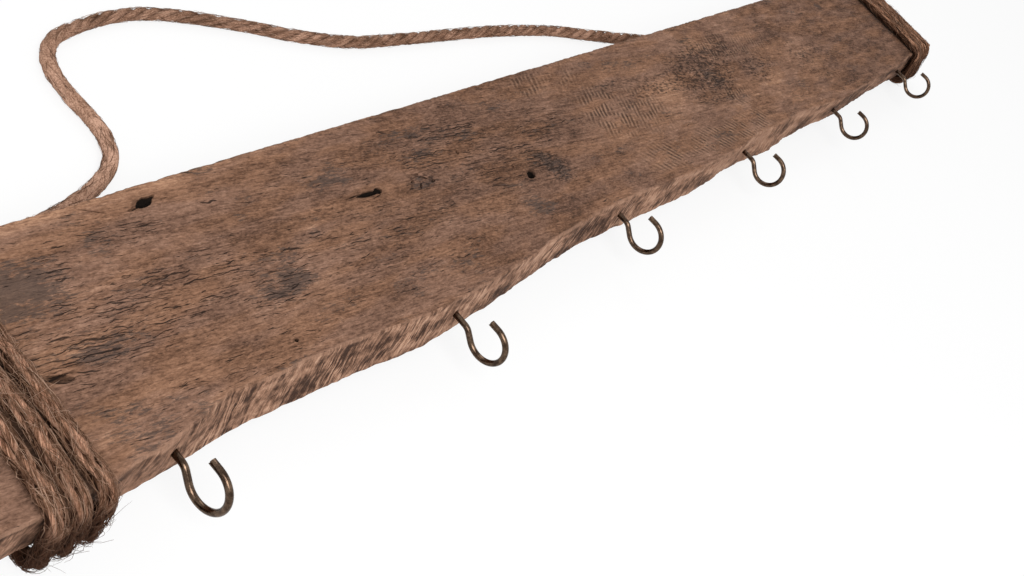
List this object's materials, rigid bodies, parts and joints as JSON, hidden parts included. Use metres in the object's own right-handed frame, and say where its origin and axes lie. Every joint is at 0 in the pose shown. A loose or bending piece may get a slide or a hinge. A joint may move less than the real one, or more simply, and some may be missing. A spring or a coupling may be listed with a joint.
{
  "type": "hanging rope shelf",
  "caption": "Worn wooden plank with bronze screw hooks along one long edge and a jute rope wound round both ends, whose loose middle is the loop it hangs by.",
  "frame": {"origin": "on the ground, under the middle of the box of the plank, hooks and windings, with the rack lying on its back", "axes": "+X along the plank, +Y square to its long edges away from the hooks and towards the hanging loop (up when hung), +Z out of the plank's face (away from the wall when hung)"},
  "size_m": [1.26, 0.3402, 0.0587],
  "materials": {
    "wood": "weathered, unfinished",
    "hooks": "dark antique bronze",
    "rope": "rough three-strand jute"
  },
  "bodies": {
    "rack": {"plank": "wood", "left_winding": "rope", "right_winding": "rope", "hanging_rope": "rope"},
    "hook_1": {"hook_1": "hooks"},
    "hook_2": {"hook_2": "hooks"},
    "hook_3": {"hook_3": "hooks"},
    "hook_4": {"hook_4": "hooks"},
    "hook_5": {"hook_5": "hooks"},
    "hook_6": {"hook_6": "hooks"}
  },
  "joints": [
    {"name": "hook_1_turn", "type": "hinge", "parent": "rack", "child": "hook_1", "pos_m": [-0.52062, -0.04775, 0.03395], "axis": [0, -1, 0], "continuous": true},
    {"name": "hook_2_turn", "type": "hinge", "parent": "rack", "child": "hook_2", "pos_m": [-0.31371, -0.05618, 0.03395], "axis": [0, -1, 0], "continuous": true},
    {"name": "hook_3_turn", "type": "hinge", "parent": "rack", "child": "hook_3", "pos_m": [-0.10868, -0.04632, 0.03395], "axis": [0, -1, 0], "continuous": true},
    {"name": "hook_4_turn", "type": "hinge", "parent": "rack", "child": "hook_4", "pos_m": [0.10638, -0.05063, 0.03395], "axis": [0, -1, 0], "continuous": true},
    {"name": "hook_5_turn", "type": "hinge", "parent": "rack", "child": "hook_5", "pos_m": [0.31141, -0.0544, 0.03395], "axis": [0, -1, 0], "continuous": true},
    {"name": "hook_6_turn", "type": "hinge", "parent": "rack", "child": "hook_6", "pos_m": [0.52438, -0.05141, 0.03395], "axis": [0, -1, 0], "continuous": true}
  ]
}
